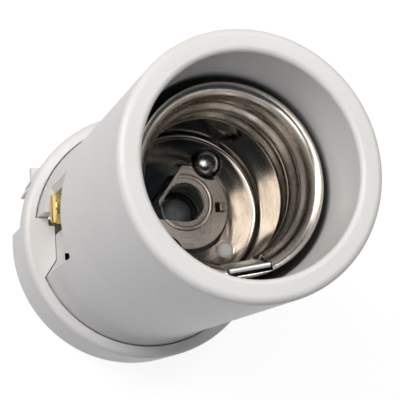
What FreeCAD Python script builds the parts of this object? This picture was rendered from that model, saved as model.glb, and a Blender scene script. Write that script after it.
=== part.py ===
import FreeCAD, Part
import math
import os

import Sketcher

# Porcelain screw lamp holder, large size, in two porcelain parts.
# The holder stands on its base: the origin is the middle of the base's underside, +Z points out
# of the lamp mouth, and the two wiring windows face -X and +X.
# The +X side is the -X side turned half a turn about the axis.

SIZES = {
    # Porcelain body
    "mouth_wall": 5.5,
    "waist_wall": 4.8,
    "holder_height": 102.0,
    "mouth_outer_round": 1.8,
    "mouth_inner_round": 1.3,
    "collar_clearance": 2.4,
    "collar_floor_round": 2.0,
    "flare_height": 8.0,
    "foot_wall": 5.5,
    "foot_band": 1.0,
    "shell_seat_level": 51.0,
    "web_level": 37.0,
    "chamber_radius": 18.0,
    "well_radius": 9.6,
    "well_level": 43.0,
    "well_rim_depth": 2.4,
    "pip_radius": 2.05,
    "pip_height": 1.3,
    "pip_inset": 4.9,
    "pip_angle": -45.0,
    # Porcelain base
    "flange_level": 18.3,
    "seat_level": 12.5,
    "plate_thickness": 6.5,
    "flange_wall": 3.15,
    "skirt_taper": 0.2,
    "skirt_wall": 4.5,
    "foot_gap": 0.25,
    "flange_outer_round": 1.7,
    "flange_inner_round": 0.5,
    "skirt_round": 0.8,
    # Wiring windows, seen from outside
    "window_back": 25.3,
    "window_overrun": 3.5,
    "window_back_half": 7.3,
    "window_side_slope": 1.48,
    "window_roof_level": 45.3,
    "sill_level": 25.5,
    "sill_end": 4.5,
    "lug_gap": 0.2,
    "lug_relief_outer": 27.2,
    "lug_relief_low": 2.1,
    "core_hole_width": 1.3,
    "core_hole_depth": 1.8,
    "core_top_x": 28.4,
    "core_top_y": 11.0,
    "core_top_level": 42.0,
    "core_foot_x": 21.6,
    "core_foot_y": 6.2,
    # Terminal pockets behind the sills
    "pocket_outer": 27.0,
    "pocket_inner": 14.0,
    "pocket_low": -0.3,
    "pocket_high": 9.3,
    "pocket_roof_level": 41.0,
    # Wire entries in the skirt
    "entry_roof_level": 12.0,
    "entry_near": 2.7,
    "entry_far": 15.8,
    "entry_rib": 1.5,
    "entry_rib_place": 13.95,
    "entry_hole_inner": 22.0,
    "entry_hole_near": 5.0,
    "entry_hole_far": 12.6,
    "cheek_inset": 5.6,
    "cheek_depth": 4.6,
    "cheek_near": 16.0,
    "cheek_far": 21.7,
    "cheek_height": 2.5,
    # Holes that fix the base to a lamp housing
    "fixing_spacing": 35.0,
    "fixing_hole_radius": 2.6,
    "fixing_recess_radius": 5.2,
    "fixing_recess_depth": 3.5,
    # Rolled screw shell
    "sheet": 0.5,
    "shell_wall_radius": 19.5,
    "shell_wall_step": 2.5,
    "shell_floor_step": 0.6,
    "shell_root_swell": 0.3,
    "thread_depth": 1.65,
    "thread_pitch": 6.35,
    "thread_low": 68.6,
    "thread_high": 84.0,
    "thread_fade": 2.2,
    "lip_level": 86.5,
    "lip_width": 3.1,
    "shell_corner_round": 1.2,
    # The size of machine screw and rivet used throughout, with its washers and nuts
    "screw_radius": 2.0,
    "screw_hole_radius": 2.2,
    "screw_head_radius": 4.0,
    "screw_head_height": 2.8,
    "shell_rivet_inset": 5.9,
    "shell_rivet_angle": 61.0,
    "rivet_tail_radius": 3.3,
    "rivet_tail_height": 1.6,
    "washer_radius": 4.0,
    "washer_thickness": 0.8,
    "nut_flats": 7.0,
    "nut_thickness": 3.2,
    # Centre contact
    "contact_radius": 10.5,
    "contact_chord": 6.8,
    "contact_chord_angle": 144.0,
    "contact_scallop": 5.0,
    "contact_sheet": 1.0,
    "contact_top_level": 54.6,
    "contact_skirt": 2.2,
    "contact_skirt_wall": 0.7,
    "contact_gap": 1.2,
    "eye_x": -0.5,
    "eye_y": 1.2,
    "eye_radius": 4.95,
    "eye_tip_radius": 1.4,
    "eye_tip_distance": 7.0,
    "eye_tip_angle": 205.0,
    "bead_radius": 6.7,
    "bead_section": 0.7,
    "guide_radius": 9.1,
    "guide_sheet": 1.0,
    "guide_leg_outer": 9.1,
    "guide_leg_thickness": 0.8,
    "guide_leg_width": 2.0,
    "guide_slot_clearance": 0.3,
    "guide_slot_depth": 1.1,
    "hook_length": 1.0,
    "hook_gap": 0.1,
    "spring_radius": 6.2,
    "spring_wire": 1.0,
    "spring_turns": 4.5,
    "centre_screw_length": 18.0,
    # Contact strips
    "strip_sheet": 1.0,
    "strip_width": 7.0,
    "strip_eye_radius": 4.3,
    "strip_low_level": 22.0,
    # Terminals
    "terminal_front": 24.4,
    "terminal_thickness": 2.5,
    "terminal_centre": 4.3,
    "terminal_width": 8.6,
    "terminal_low_level": 21.0,
    "terminal_high_level": 38.0,
    "terminal_screw_level": 30.5,
    "terminal_screw_length": 8.0,
    "terminal_head_radius": 3.9,
    "terminal_head_height": 2.8,
    "terminal_thread_gap": 0.05,
    "terminal_slot_width": 1.1,
    "terminal_slot_depth": 1.2,
    "clamp_side": 8.0,
    "clamp_thickness": 1.5,
    "clamp_corner": 1.2,
    # Lamp lock spring
    "lock_angle": 279.0,
    "lock_width": 10.0,
    "lock_sheet": 0.5,
    "lock_stand_off": 0.2,
    "lock_nose_reach": 17.7,
    "lock_nose_level": 75.0,
    "lock_top_reach": 20.5,
    "lock_top_level": 86.0,
    "lock_foot_level": 57.0,
    "lock_bend_level": 63.5,
    "lock_roll_radius": 0.6,
    "lock_slot_clearance": 0.4,
    "lock_slot_low": 62.0,
    "lock_slot_high": 85.3,
    "lock_slot_reach": 21.9,
    "rivet_radius": 1.25,
    "rivet_head_radius": 2.3,
    "rivet_head_height": 0.8,
    "rivet_level": 60.0,
    "rivet_play": 0.35,
    # Screws that join the body to the base
    "body_screw_inset": 7.0,
    "body_screw_length": 24.0,
    "body_nut_level": 24.0,
    "nut_trap_clearance": 0.15,
    "nut_trap_wall": 3.2,
}

# Sizes that follow from the others
FOLLOWING = {
    "shell_rivet_reach": "shell_wall_radius - shell_rivet_inset",
    "pip_reach": "shell_wall_radius - pip_inset",
    "shell_root_radius": "shell_wall_radius + shell_root_swell",
    "shell_crest_radius": "shell_root_radius - thread_depth",
    "lip_radius": "shell_wall_radius + lip_width",
    "collar_radius": "lip_radius + collar_clearance",
    "mouth_radius": "collar_radius + mouth_wall",
    "waist_radius": "collar_radius + waist_wall",
    "foot_radius": "collar_radius + foot_wall",
    "flange_radius": "foot_radius + foot_gap + flange_wall",
    "skirt_radius": "flange_radius - skirt_taper",
    "window_reach": "foot_radius + window_overrun",
    "cheek_reach": "skirt_radius - cheek_inset",
    "body_screw_reach": "foot_radius - body_screw_inset",
    "nut_trap_outer": "foot_radius - nut_trap_wall",
}

doc = FreeCAD.newDocument("porcelain_lamp_holder")
sheet = doc.addObject("Spreadsheet::Sheet", "sizes")
for row, (size_name, size_value) in enumerate(SIZES.items(), start=1):
    sheet.set("A%d" % row, size_name)
    sheet.set("B%d" % row, str(size_value))
    sheet.setAlias("B%d" % row, size_name)
doc.recompute()

AXIS_Z = FreeCAD.Vector(0, 0, 1)
AXIS_Y = FreeCAD.Vector(0, 1, 0)
HALF_TURN = 180.0
SIDES = {"line": 0.0, "neutral": HALF_TURN}


# Helpers that make one object and bind its sizes to the sheet

def worded(expression):
    """The expression in the sheet's own sizes, each led by the sheet's name."""
    words = []
    word = ""
    for letter in expression + " ":
        if letter.isalnum() or letter == "_":
            word += letter
            continue
        if word in FOLLOWING:
            word = "(%s)" % worded(FOLLOWING[word])
        elif word in SIZES:
            word = "sizes." + word
        words.append(word)
        words.append(letter)
        word = ""
    return "".join(words).strip()


def number(expression):
    """The value of an expression of the sheet's sizes."""
    return float(sheet.evalExpression(worded(str(expression))))


def bind(item, **expressions):
    for prop, expression in expressions.items():
        item.setExpression(prop.replace("__", "."), worded(str(expression)))
    return item


def place(item, x="0", y="0", z="0"):
    for letter, expression in (("x", x), ("y", y), ("z", z)):
        item.setExpression("Placement.Base." + letter, worded(str(expression)))
    return item


def turned(item, axis, angle):
    item.Placement = FreeCAD.Placement(item.Placement.Base, FreeCAD.Rotation(axis, angle))
    return item


def cylinder(name, radius, low, high, x="0", y="0"):
    item = doc.addObject("Part::Cylinder", name)
    bind(item, Radius=radius, Height="(%s) - (%s)" % (high, low))
    return place(item, x, y, low)


def cone(name, low_radius, high_radius, low, high, x="0", y="0"):
    item = doc.addObject("Part::Cone", name)
    bind(item, Radius1=low_radius, Radius2=high_radius, Height="(%s) - (%s)" % (high, low))
    return place(item, x, y, low)


def box(name, x, y, z):
    """A block between two expressions along each of X, Y and Z."""
    item = doc.addObject("Part::Box", name)
    spans = ["(%s) - (%s)" % (high, low) for low, high in (x, y, z)]
    bind(item, Length=spans[0], Width=spans[1], Height=spans[2])
    return place(item, x[0], y[0], z[0])


def prism(name, across_flats, low, high, sides=6, x="0", y="0"):
    item = doc.addObject("Part::Prism", name)
    item.Polygon = sides
    bind(item, Circumradius="(%s) / 2 / cos(180 / %d)" % (across_flats, sides))
    bind(item, Height="(%s) - (%s)" % (high, low))
    return place(item, x, y, low)


def fused(name, *items):
    if len(items) == 1:
        return items[0]
    item = doc.addObject("Part::MultiFuse", name)
    item.Shapes = list(items)
    return item


def common(name, *items):
    item = doc.addObject("Part::MultiCommon", name)
    item.Shapes = list(items)
    return item


def cut(name, base, *tools):
    item = doc.addObject("Part::Cut", name)
    item.Base = base
    item.Tool = fused(name + "_tools", *tools)
    return item


def grouped(name, *items):
    item = doc.addObject("Part::Compound", name)
    item.Links = list(items)
    return item


def polar(reach, angle):
    """Expressions for the X and Y of a point at a reach and an angle from the axis."""
    return "(%s) * cos(%s)" % (reach, angle), "(%s) * sin(%s)" % (reach, angle)


def plane_of(body, role):
    return [feature for feature in body.Origin.OriginFeatures if feature.Role == role][0]


def revolved_body(name, outline):
    """A body turned about Z from a closed outline of (radius, level) expressions."""
    body = doc.addObject("PartDesign::Body", name + "_blank")
    sketch = body.newObject("Sketcher::SketchObject", name + "_outline")
    sketch.AttachmentSupport = (plane_of(body, "XZ_Plane"), [""])
    sketch.MapMode = "FlatFace"
    corners = [FreeCAD.Vector(number(radius), number(level), 0) for radius, level in outline]
    count = len(corners)
    for index in range(count):
        sketch.addGeometry(Part.LineSegment(corners[index], corners[(index + 1) % count]), False)
    for index in range(count):
        sketch.addConstraint(Sketcher.Constraint("Coincident", index, 2, (index + 1) % count, 1))
    for index, (radius, level) in enumerate(outline):
        if corners[index].x == 0:
            sketch.addConstraint(Sketcher.Constraint("PointOnObject", index, 1, -2))
        else:
            bind_corner(sketch, "DistanceX", index, radius)
        if corners[index].y == 0:
            sketch.addConstraint(Sketcher.Constraint("PointOnObject", index, 1, -1))
        else:
            bind_corner(sketch, "DistanceY", index, level)
    turn = body.newObject("PartDesign::Revolution", name + "_turn")
    turn.Profile = sketch
    turn.ReferenceAxis = (sketch, ["V_Axis"])
    turn.Angle = 360
    doc.recompute()
    return body


def bind_corner(sketch, kind, index, expression):
    rule = sketch.addConstraint(Sketcher.Constraint(kind, -1, 1, index, 1, number(expression)))
    sketch.setExpression("Constraints[%d]" % rule, worded(str(expression)))


def ring_edges(shape, radius, level):
    """The names of the full circles about the axis that have this radius and level."""
    names = []
    for index, edge in enumerate(shape.Edges, start=1):
        curve = edge.Curve
        if not isinstance(curve, Part.Circle):
            continue
        if abs(curve.Radius - number(radius)) < 1e-3 and abs(curve.Center.z - number(level)) < 1e-3:
            names.append("Edge%d" % index)
    return names


def rounded(body, name, radius, rings):
    """Adds one fillet to a body, on the circles given as (radius, level)."""
    base = body.Tip
    names = [edge for ring in rings for edge in ring_edges(base.Shape, *ring)]
    fillet = body.newObject("PartDesign::Fillet", name)
    fillet.Base = (base, names)
    bind(fillet, Radius=radius)
    doc.recompute()


# Porcelain body

def window_wedge(name, side, low, high, half_low, half_high, back, slope_low, slope_high):
    """A wedge that opens outwards towards -X, with its own slope on each side."""
    wedge = doc.addObject("Part::Wedge", name)
    reach = "(window_reach - (%s))" % back
    bind(
        wedge,
        Xmin=half_low, Xmax=half_high,
        X2min="(%s) - %s * (%s)" % (half_low, reach, slope_low),
        X2max="(%s) + %s * (%s)" % (half_high, reach, slope_high),
        Ymin=back, Ymax="window_reach",
        Zmin=low, Zmax=high, Z2min=low, Z2max=high,
    )
    return turned(wedge, AXIS_Z, 90.0 + SIDES[side])


def side_group(name, side, *items):
    """Objects drawn on the -X side, turned to the side that is asked for."""
    return turned(grouped(name, fused(name + "_items", *items)), AXIS_Z, SIDES[side])


def body_side_cuts(side):
    window = window_wedge(
        side + "_window", side, "sill_level", "window_roof_level",
        "-window_back_half", "window_back_half", "window_back",
        "window_side_slope", "window_side_slope",
    )
    notch = window_wedge(
        side + "_notch", side, "seat_level - 1", "sill_level + 0.1",
        "-window_back_half", "sill_end", "window_back",
        "window_side_slope", "0",
    )
    pocket = box(
        side + "_pocket", ("-pocket_outer", "-pocket_inner"), ("pocket_low", "pocket_high"),
        ("seat_level - 1", "pocket_roof_level"),
    )
    foot = FreeCAD.Vector(-number("core_foot_x"), -number("core_foot_y"), number("seat_level") - 1)
    lean = FreeCAD.Vector(-number("core_top_x"), -number("core_top_y"), number("core_top_level")) - foot
    core = doc.addObject("Part::Box", side + "_core_hole")
    bind(core, Length="core_hole_width", Width="core_hole_depth")
    core.Height = lean.Length
    core.Placement = FreeCAD.Placement(foot, FreeCAD.Rotation(AXIS_Z, lean))
    return [window, notch, side_group(side + "_pocket_side", side, pocket, core)]


def shell_rivet_place(sign):
    return polar("%d * shell_rivet_reach" % sign, "shell_rivet_angle")


def contact_outline(name, inset, low, high, chord_inset=None):
    """The centre contact's outline: a disc with one chord, and a scallop beside each shell rivet."""
    chord_inset = inset if chord_inset is None else chord_inset
    disc = cylinder(name + "_disc", "contact_radius - (%s)" % inset, low, high)
    half = "contact_radius - (%s) + 1" % inset
    chord = box(
        name + "_chord", ("-(%s)" % half, "contact_chord - (%s)" % chord_inset),
        ("-(%s)" % half, half), (low, high),
    )
    turned(chord, AXIS_Z, number("contact_chord_angle"))
    place(
        chord,
        "-(%s) * cos(contact_chord_angle) + (%s) * sin(contact_chord_angle)" % (half, half),
        "-(%s) * sin(contact_chord_angle) - (%s) * cos(contact_chord_angle)" % (half, half),
        low,
    )
    scallops = []
    for sign in (1, -1):
        x, y = shell_rivet_place(sign)
        scallops.append(cylinder(
            "%s_scallop_%s" % (name, "a" if sign > 0 else "b"),
            "contact_scallop + (%s)" % inset, "(%s) - 1" % low, "(%s) + 1" % high, x, y,
        ))
    return cut(name, common(name + "_plain", disc, chord), *scallops)


def flare_corner(share):
    """A corner of the curve in which the body's foot widens, at a share of the curve's height."""
    return (
        "waist_radius + (foot_radius - waist_radius) * (1 - %s)^2" % share,
        "flange_level + foot_band + flare_height * %s" % share,
    )


def porcelain_body():
    blank = revolved_body("porcelain_body", [
        ("chamber_radius", "seat_level"),
        ("foot_radius", "seat_level"),
        *[flare_corner(share) for share in (0, 0.2, 0.4, 0.6, 0.8, 1)],
        ("mouth_radius", "holder_height"),
        ("collar_radius", "holder_height"),
        ("collar_radius", "shell_seat_level"),
        ("0", "shell_seat_level"),
        ("0", "web_level"),
        ("chamber_radius", "web_level"),
    ])
    rounded(blank, "mouth_outer_edge", "mouth_outer_round", [("mouth_radius", "holder_height")])
    rounded(blank, "mouth_inner_edge", "mouth_inner_round", [("collar_radius", "holder_height")])
    rounded(blank, "collar_floor", "collar_floor_round", [("collar_radius", "shell_seat_level")])
    pip_x, pip_y = polar("pip_reach", "pip_angle")
    pip_low = cylinder(
        "pip_stem", "pip_radius", "shell_seat_level - 1", "shell_seat_level + pip_height * 0.6",
        pip_x, pip_y,
    )
    pip_top = cone(
        "pip_top", "pip_radius", "pip_radius * 0.7",
        "shell_seat_level + pip_height * 0.6", "shell_seat_level + pip_height", pip_x, pip_y,
    )
    cutters = [
        cylinder("spring_well", "well_radius", "well_level", "shell_seat_level + 1"),
        cylinder("centre_screw_hole", "screw_hole_radius", "web_level - 1", "well_level + 1"),
        contact_outline(
            "well_rim", "-contact_gap", "shell_seat_level - well_rim_depth", "shell_seat_level + 1",
        ),
    ]
    for sign in (1, -1):
        end = "a" if sign > 0 else "b"
        x, y = shell_rivet_place(sign)
        cutters.append(cylinder(
            "shell_rivet_hole_" + end, "screw_hole_radius", "web_level - 1", "shell_seat_level + 1",
            x, y,
        ))
        cutters.append(cylinder(
            "body_screw_hole_" + end, "screw_hole_radius", "seat_level - 1",
            "seat_level - plate_thickness + body_screw_length + 1", "0", "%d * body_screw_reach" % sign,
        ))
        trap = box(
            "nut_trap_" + end,
            ("-nut_flats / 2 - nut_trap_clearance", "nut_flats / 2 + nut_trap_clearance"),
            ("chamber_radius - 2", "nut_trap_outer"),
            ("body_nut_level", "body_nut_level + nut_thickness + nut_trap_clearance"),
        )
        cutters.append(turned(fused("nut_trap_side_" + end, trap, cylinder(
            "nut_trap_relief_" + end, "screw_hole_radius", "body_nut_level", "body_nut_level + 1",
            "0", "body_screw_reach",
        )), AXIS_Z, 0.0 if sign > 0 else HALF_TURN))
    for side in SIDES:
        cutters += body_side_cuts(side)
    body = cut("porcelain_body_cut", fused("porcelain_body_solid", blank, pip_low, pip_top), *cutters)
    body.Label = "porcelain_body"
    return body


# Porcelain base

def base_lug(side):
    """The lug that fills the body's notch, flush with the flange."""
    wedge = window_wedge(
        side + "_lug_wedge", side, "seat_level - 1", "flange_level",
        "-window_back_half + lug_gap", "sill_end - lug_gap", "window_back + lug_gap",
        "window_side_slope", "0",
    )
    inside = cylinder(
        side + "_lug_reach", "foot_radius + foot_gap + flange_inner_round",
        "seat_level - 1", "flange_level",
    )
    relief = box(
        side + "_lug_relief", ("-lug_relief_outer", "-pocket_inner"), ("lug_relief_low", "sill_end"),
        ("seat_level", "flange_level + 1"),
    )
    relief_side = side_group(side + "_lug_relief_side", side, relief)
    return cut(side + "_lug", common(side + "_lug_solid", wedge, inside), relief_side)


def base_cheek(side):
    """The square shoulder beside the wire entry."""
    cheek = box(
        side + "_cheek", ("-cheek_reach", "-cheek_reach + cheek_depth"),
        ("cheek_near", "cheek_far"), ("0", "cheek_height"),
    )
    return side_group(side + "_cheek_side", side, cheek)


def base_side_cuts(side):
    near = box(
        side + "_entry_near", ("-skirt_radius - 2", "-skirt_radius + skirt_wall * 2"),
        ("entry_near", "entry_rib_place - entry_rib / 2"), ("-1", "entry_roof_level"),
    )
    far = box(
        side + "_entry_far", ("-skirt_radius - 2", "-skirt_radius + skirt_wall * 2"),
        ("entry_rib_place + entry_rib / 2", "entry_far"), ("-1", "entry_roof_level"),
    )
    hole = box(
        side + "_entry_hole", ("-foot_radius + 1", "-entry_hole_inner"),
        ("entry_hole_near", "entry_hole_far"), ("-1", "seat_level + 1"),
    )
    return side_group(side + "_entry", side, near, far, hole)


def porcelain_base():
    inner = "foot_radius + foot_gap"
    underside = "seat_level - plate_thickness"
    blank = revolved_body("porcelain_base", [
        ("0", underside),
        ("skirt_radius - skirt_wall", underside),
        ("skirt_radius - skirt_wall", "0"),
        ("skirt_radius", "0"),
        ("flange_radius", "flange_level"),
        (inner, "flange_level"),
        (inner, "seat_level"),
        ("0", "seat_level"),
    ])
    rounded(blank, "flange_outer_edge", "flange_outer_round", [("flange_radius", "flange_level")])
    rounded(blank, "flange_inner_edge", "flange_inner_round", [(inner, "flange_level")])
    rounded(blank, "skirt_edge", "skirt_round", [("skirt_radius", "0")])
    cutters = []
    for sign in (1, -1):
        end = "a" if sign > 0 else "b"
        x = "%d * fixing_spacing / 2" % sign
        cutters.append(cylinder(
            "fixing_hole_" + end, "fixing_hole_radius", "-1", "seat_level + 1", x,
        ))
        cutters.append(cylinder(
            "fixing_recess_" + end, "fixing_recess_radius", "seat_level - fixing_recess_depth",
            "seat_level + 1", x,
        ))
        cutters.append(cylinder(
            "base_screw_hole_" + end, "screw_hole_radius", "-1", "seat_level + 1",
            "0", "%d * body_screw_reach" % sign,
        ))
    solids = [blank]
    for side in SIDES:
        solids += [base_lug(side), base_cheek(side)]
        cutters.append(base_side_cuts(side))
    base = cut("porcelain_base_cut", fused("porcelain_base_solid", *solids), *cutters)
    base.Label = "porcelain_base"
    return base


# Rolled screw shell

def smooth_step(value):
    value = min(1.0, max(0.0, value))
    return value * value * (3 - 2 * value)


def shell_stations():
    """Stations (radius, level) of the shell's inner face, from its floor to its lip."""
    wall = number("shell_wall_radius")
    floor = number("shell_seat_level + sheet")
    corner = number("shell_corner_round")
    step = number("shell_floor_step")
    stations = [(wall - corner - 2 * step, floor), (wall - corner - step, floor)]
    for part in range(4):
        turn = math.radians(90 * part / 3)
        stations.append((wall - corner + corner * math.sin(turn), floor + corner - corner * math.cos(turn)))
    low, high = number("thread_low"), number("thread_high")
    level, rise = floor + corner, number("shell_wall_step")
    while level + rise < low:
        level += rise
        stations.append((wall, level))
    steps = int(round((high - low) / (number("thread_pitch") / 8)))
    stations += [(None, low + (high - low) * step / steps) for step in range(steps + 1)]
    root, lip, top = number("shell_root_radius"), number("lip_radius"), number("lip_level")
    stations.append((root + (lip - root) * 0.06, high + (top - high) * 0.25))
    stations.append((root + (lip - root) * 0.22, high + (top - high) * 0.55))
    stations.append((root + (lip - root) * 0.50, high + (top - high) * 0.90))
    stations.append((root + (lip - root) * 0.78, top))
    stations.append((lip, top))
    return stations


def thread_radius(level, turn):
    """The rolled thread's inner radius at a level and at a share of a turn."""
    low, high = number("thread_low"), number("thread_high")
    crest, root = number("shell_crest_radius"), number("shell_root_radius")
    fade = number("thread_fade")
    wall = number("shell_wall_radius")
    plain = wall + (root - wall) * smooth_step((level - low) / (high - low))
    depth = smooth_step((level - low) / fade) * smooth_step((high - level) / fade)
    wave = 0.5 + 0.5 * math.cos(2 * math.pi * (level / number("thread_pitch") - turn))
    return plain - (root - crest) * depth * wave


def shell_face(offset, turns=32):
    """One face of the shell: its stations turned about the axis, moved out by the sheet."""
    stations = shell_stations()
    middle = [(thread_radius(level, 0) if radius is None else radius, level) for radius, level in stations]
    spread = 3 / (2 + math.cos(2 * math.pi / turns))
    rows = []
    for step in range(turns):
        turn = step / turns
        row = []
        for index, (radius, level) in enumerate(stations):
            reach = thread_radius(level, turn) if radius is None else radius
            before, after = middle[max(index - 1, 0)], middle[min(index + 1, len(middle) - 1)]
            if radius is None:
                before, after = (0, before[1]), (0, after[1])
            along = FreeCAD.Vector(after[0] - before[0], after[1] - before[1], 0).normalize()
            reach += along.y * offset
            height = level - along.x * offset
            angle = 2 * math.pi * turn
            across = FreeCAD.Vector(math.cos(angle), math.sin(angle), 0) * (reach * spread)
            row.append(across + FreeCAD.Vector(0, 0, height))
        rows.append(row)
    count = len(stations)
    surface = Part.BSplineSurface()
    surface.buildFromPolesMultsKnots(
        rows, [1] * (turns + 1), [4] + [1] * (count - 4) + [4],
        [float(knot) for knot in range(turns + 1)], [float(knot) for knot in range(count - 2)],
        True, False, 3, 3,
    )
    return surface.toShape()


def ring_of(face, level):
    """The closed edge of a face that lies at a level."""
    for edge in face.Edges:
        box_of = edge.BoundBox
        if box_of.ZLength < 1e-3 and abs(box_of.ZMin - level) < 1e-2:
            return Part.Wire([edge])
    raise ValueError("no ring at level %.3f" % level)


def shell_solid():
    inner = shell_face(0.0)
    outer = shell_face(number("sheet"))
    floor, top, gauge = number("shell_seat_level + sheet"), number("lip_level"), number("sheet")
    floor_face = Part.Face(ring_of(inner, floor))
    under_face = Part.Face(ring_of(outer, floor - gauge))
    inner_lip, outer_lip = ring_of(inner, top), ring_of(outer, top - gauge)
    lip_edge = Part.makeRuledSurface(inner_lip.Edges[0], outer_lip.Edges[0])
    shell = Part.makeShell([inner, outer, floor_face, under_face, lip_edge])
    shell.sewShape()
    solid = Part.makeSolid(shell)
    if solid.Volume < 0:
        solid.reverse()
    return solid


def screw_shell():
    rolled = doc.addObject("Part::Feature", "rolled_shell")
    rolled.Shape = shell_solid()
    low, high = "shell_seat_level - 1", "shell_seat_level + sheet + 1"
    pip_x, pip_y = polar("pip_reach", "pip_angle")
    cutters = [
        contact_outline("shell_floor_opening", "-contact_gap", low, high),
        cylinder("pip_hole", "pip_radius + 0.15", low, high, pip_x, pip_y),
    ]
    for sign in (1, -1):
        x, y = shell_rivet_place(sign)
        cutters.append(cylinder(
            "shell_hole_" + ("a" if sign > 0 else "b"), "screw_hole_radius", low, high, x, y,
        ))
    half = "lock_width / 2 + lock_slot_clearance"
    slot = box(
        "lock_slot", ("lock_nose_reach - 2", "lip_radius + 1"), ("-(%s)" % half, half),
        ("lock_slot_low", "lock_slot_high"),
    )
    lip_notch = box(
        "lock_lip_notch", ("lock_nose_reach - 2", "lock_slot_reach"), ("-(%s)" % half, half),
        ("lock_slot_high - 1", "lip_level + 1"),
    )
    rivet_hole = turned(doc.addObject("Part::Cylinder", "lock_rivet_hole"), AXIS_Y, 90)
    bind(rivet_hole, Radius="rivet_radius + rivet_play", Height="4")
    place(rivet_hole, "shell_wall_radius - 2", "0", "rivet_level")
    cutters.append(turned(fused("lock_openings", slot, lip_notch, rivet_hole), AXIS_Z, number("lock_angle")))
    shell = cut("screw_shell_cut", rolled, *cutters)
    shell.Label = "screw_shell"
    return shell


# Fasteners, drawn with the underside of the head at level 0 and the shank pointing down

def domed_head(name):
    head = cylinder(name + "_head", "screw_head_radius", "0", "screw_head_height")
    doc.recompute()
    dome = doc.addObject("Part::Fillet", name + "_dome")
    dome.Base = head
    middle, sweep = number("screw_head_height / 2"), number("screw_head_height * 0.78")
    top = [
        index for index, edge in enumerate(head.Shape.Edges, start=1)
        if isinstance(edge.Curve, Part.Circle) and edge.Curve.Center.z > middle
    ]
    dome.Edges = [(top[0], sweep, sweep)]
    return dome


def pan_screw(name, length):
    """A domed machine screw with a cross recess."""
    shank = cylinder(name + "_shank", "screw_radius", "-(%s)" % length, "0.1")
    arm = "screw_head_radius * 0.52"
    level = "screw_head_height * 0.45"
    across = box(
        name + "_across", ("-(%s)" % arm, arm), ("-0.45", "0.45"), (level, "screw_head_height + 1"),
    )
    along = box(
        name + "_along", ("-0.45", "0.45"), ("-(%s)" % arm, arm), (level, "screw_head_height + 1"),
    )
    return cut(name, fused(name + "_plain", shank, domed_head(name)), across, along)


def domed_rivet(name, grip):
    """A rivet with a plain domed head and a closed tail, a grip's length apart."""
    shank = cylinder(name + "_shank", "screw_radius", "-(%s) - 0.1" % grip, "0.1")
    tail = cone(
        name + "_tail", "rivet_tail_radius * 0.7", "rivet_tail_radius",
        "-(%s) - rivet_tail_height" % grip, "-(%s)" % grip,
    )
    return fused(name, domed_head(name), shank, tail)


def washer(name, low, x="0", y="0"):
    disc = cylinder(name + "_disc", "washer_radius", low, "(%s) + washer_thickness" % low, x, y)
    hole = cylinder(name + "_hole", "screw_hole_radius", "(%s) - 1" % low, "(%s) + 2" % low, x, y)
    return cut(name, disc, hole)


def nut(name, low, sides=6, x="0", y="0"):
    block = prism(name + "_block", "nut_flats", low, "(%s) + nut_thickness" % low, sides, x, y)
    hole = cylinder(
        name + "_hole", "screw_radius", "(%s) - 1" % low, "(%s) + nut_thickness + 1" % low, x, y,
    )
    return cut(name, block, hole)


def shell_fasteners():
    rivets, washers = [], []
    for sign in (1, -1):
        end = "a" if sign > 0 else "b"
        x, y = shell_rivet_place(sign)
        washer_low = "web_level - washer_thickness - %s" % ("0" if sign > 0 else "strip_sheet")
        rivet = domed_rivet("shell_rivet_" + end, "shell_seat_level + sheet - (%s)" % washer_low)
        rivets.append(place(rivet, x, y, "shell_seat_level + sheet"))
        washers.append(washer("shell_washer_" + end, washer_low, x, y))
    grouped("shell_rivet_pair", *rivets).Label = "shell_rivets"
    grouped("shell_washer_pair", *washers).Label = "shell_washers"


def body_fasteners():
    screws, washers, nuts = [], [], []
    for sign in (1, -1):
        end = "a" if sign > 0 else "b"
        y = "%d * body_screw_reach" % sign
        underside = "seat_level - plate_thickness"
        screw = pan_screw("body_screw_" + end, "body_screw_length")
        turned(screw, FreeCAD.Vector(1, 0, 0), HALF_TURN)
        screws.append(place(screw, "0", y, underside + " - washer_thickness"))
        washers.append(washer("body_washer_" + end, underside + " - washer_thickness", "0", y))
        square = nut("body_nut_" + end, "0", 4)
        turned(square, AXIS_Z, 45.0)
        nuts.append(place(square, "0", y, "body_nut_level"))
    grouped("body_screw_pair", *screws).Label = "body_screws"
    grouped("body_washer_pair", *washers).Label = "body_washers"
    grouped("body_nut_pair", *nuts).Label = "body_nuts"


# Centre contact

def eye_cut(low, high):
    """The drop shaped eye in the centre contact."""
    tip_x = "eye_x + eye_tip_distance * cos(eye_tip_angle)"
    tip_y = "eye_y + eye_tip_distance * sin(eye_tip_angle)"
    round_end = cylinder("eye_round", "eye_radius", low, high, "eye_x", "eye_y")
    tip_end = cylinder("eye_tip", "eye_tip_radius", low, high, tip_x, tip_y)
    web = doc.addObject("Part::Wedge", "eye_web")
    lean = "(eye_radius - eye_tip_radius) / eye_tip_distance"
    bind(
        web,
        Xmin="-eye_radius * cos(asin(%s))" % lean, Xmax="eye_radius * cos(asin(%s))" % lean,
        Ymin="eye_radius * (%s)" % lean, Ymax="eye_tip_distance + eye_tip_radius * (%s)" % lean,
        X2min="-eye_tip_radius * cos(asin(%s))" % lean, X2max="eye_tip_radius * cos(asin(%s))" % lean,
        Zmin="0", Zmax="(%s) - (%s)" % (high, low), Z2min="0", Z2max="(%s) - (%s)" % (high, low),
    )
    turned(web, AXIS_Z, number("eye_tip_angle") - 90)
    place(web, "eye_x", "eye_y", low)
    return fused("eye", round_end, tip_end, web)


def guide_slot_box(name, low, high):
    inner = "guide_leg_outer - guide_leg_thickness - guide_slot_depth"
    half = "guide_leg_width / 2 + guide_slot_clearance"
    return box(name, (inner, "guide_leg_outer + guide_slot_clearance"), ("-(%s)" % half, half), (low, high))


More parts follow.
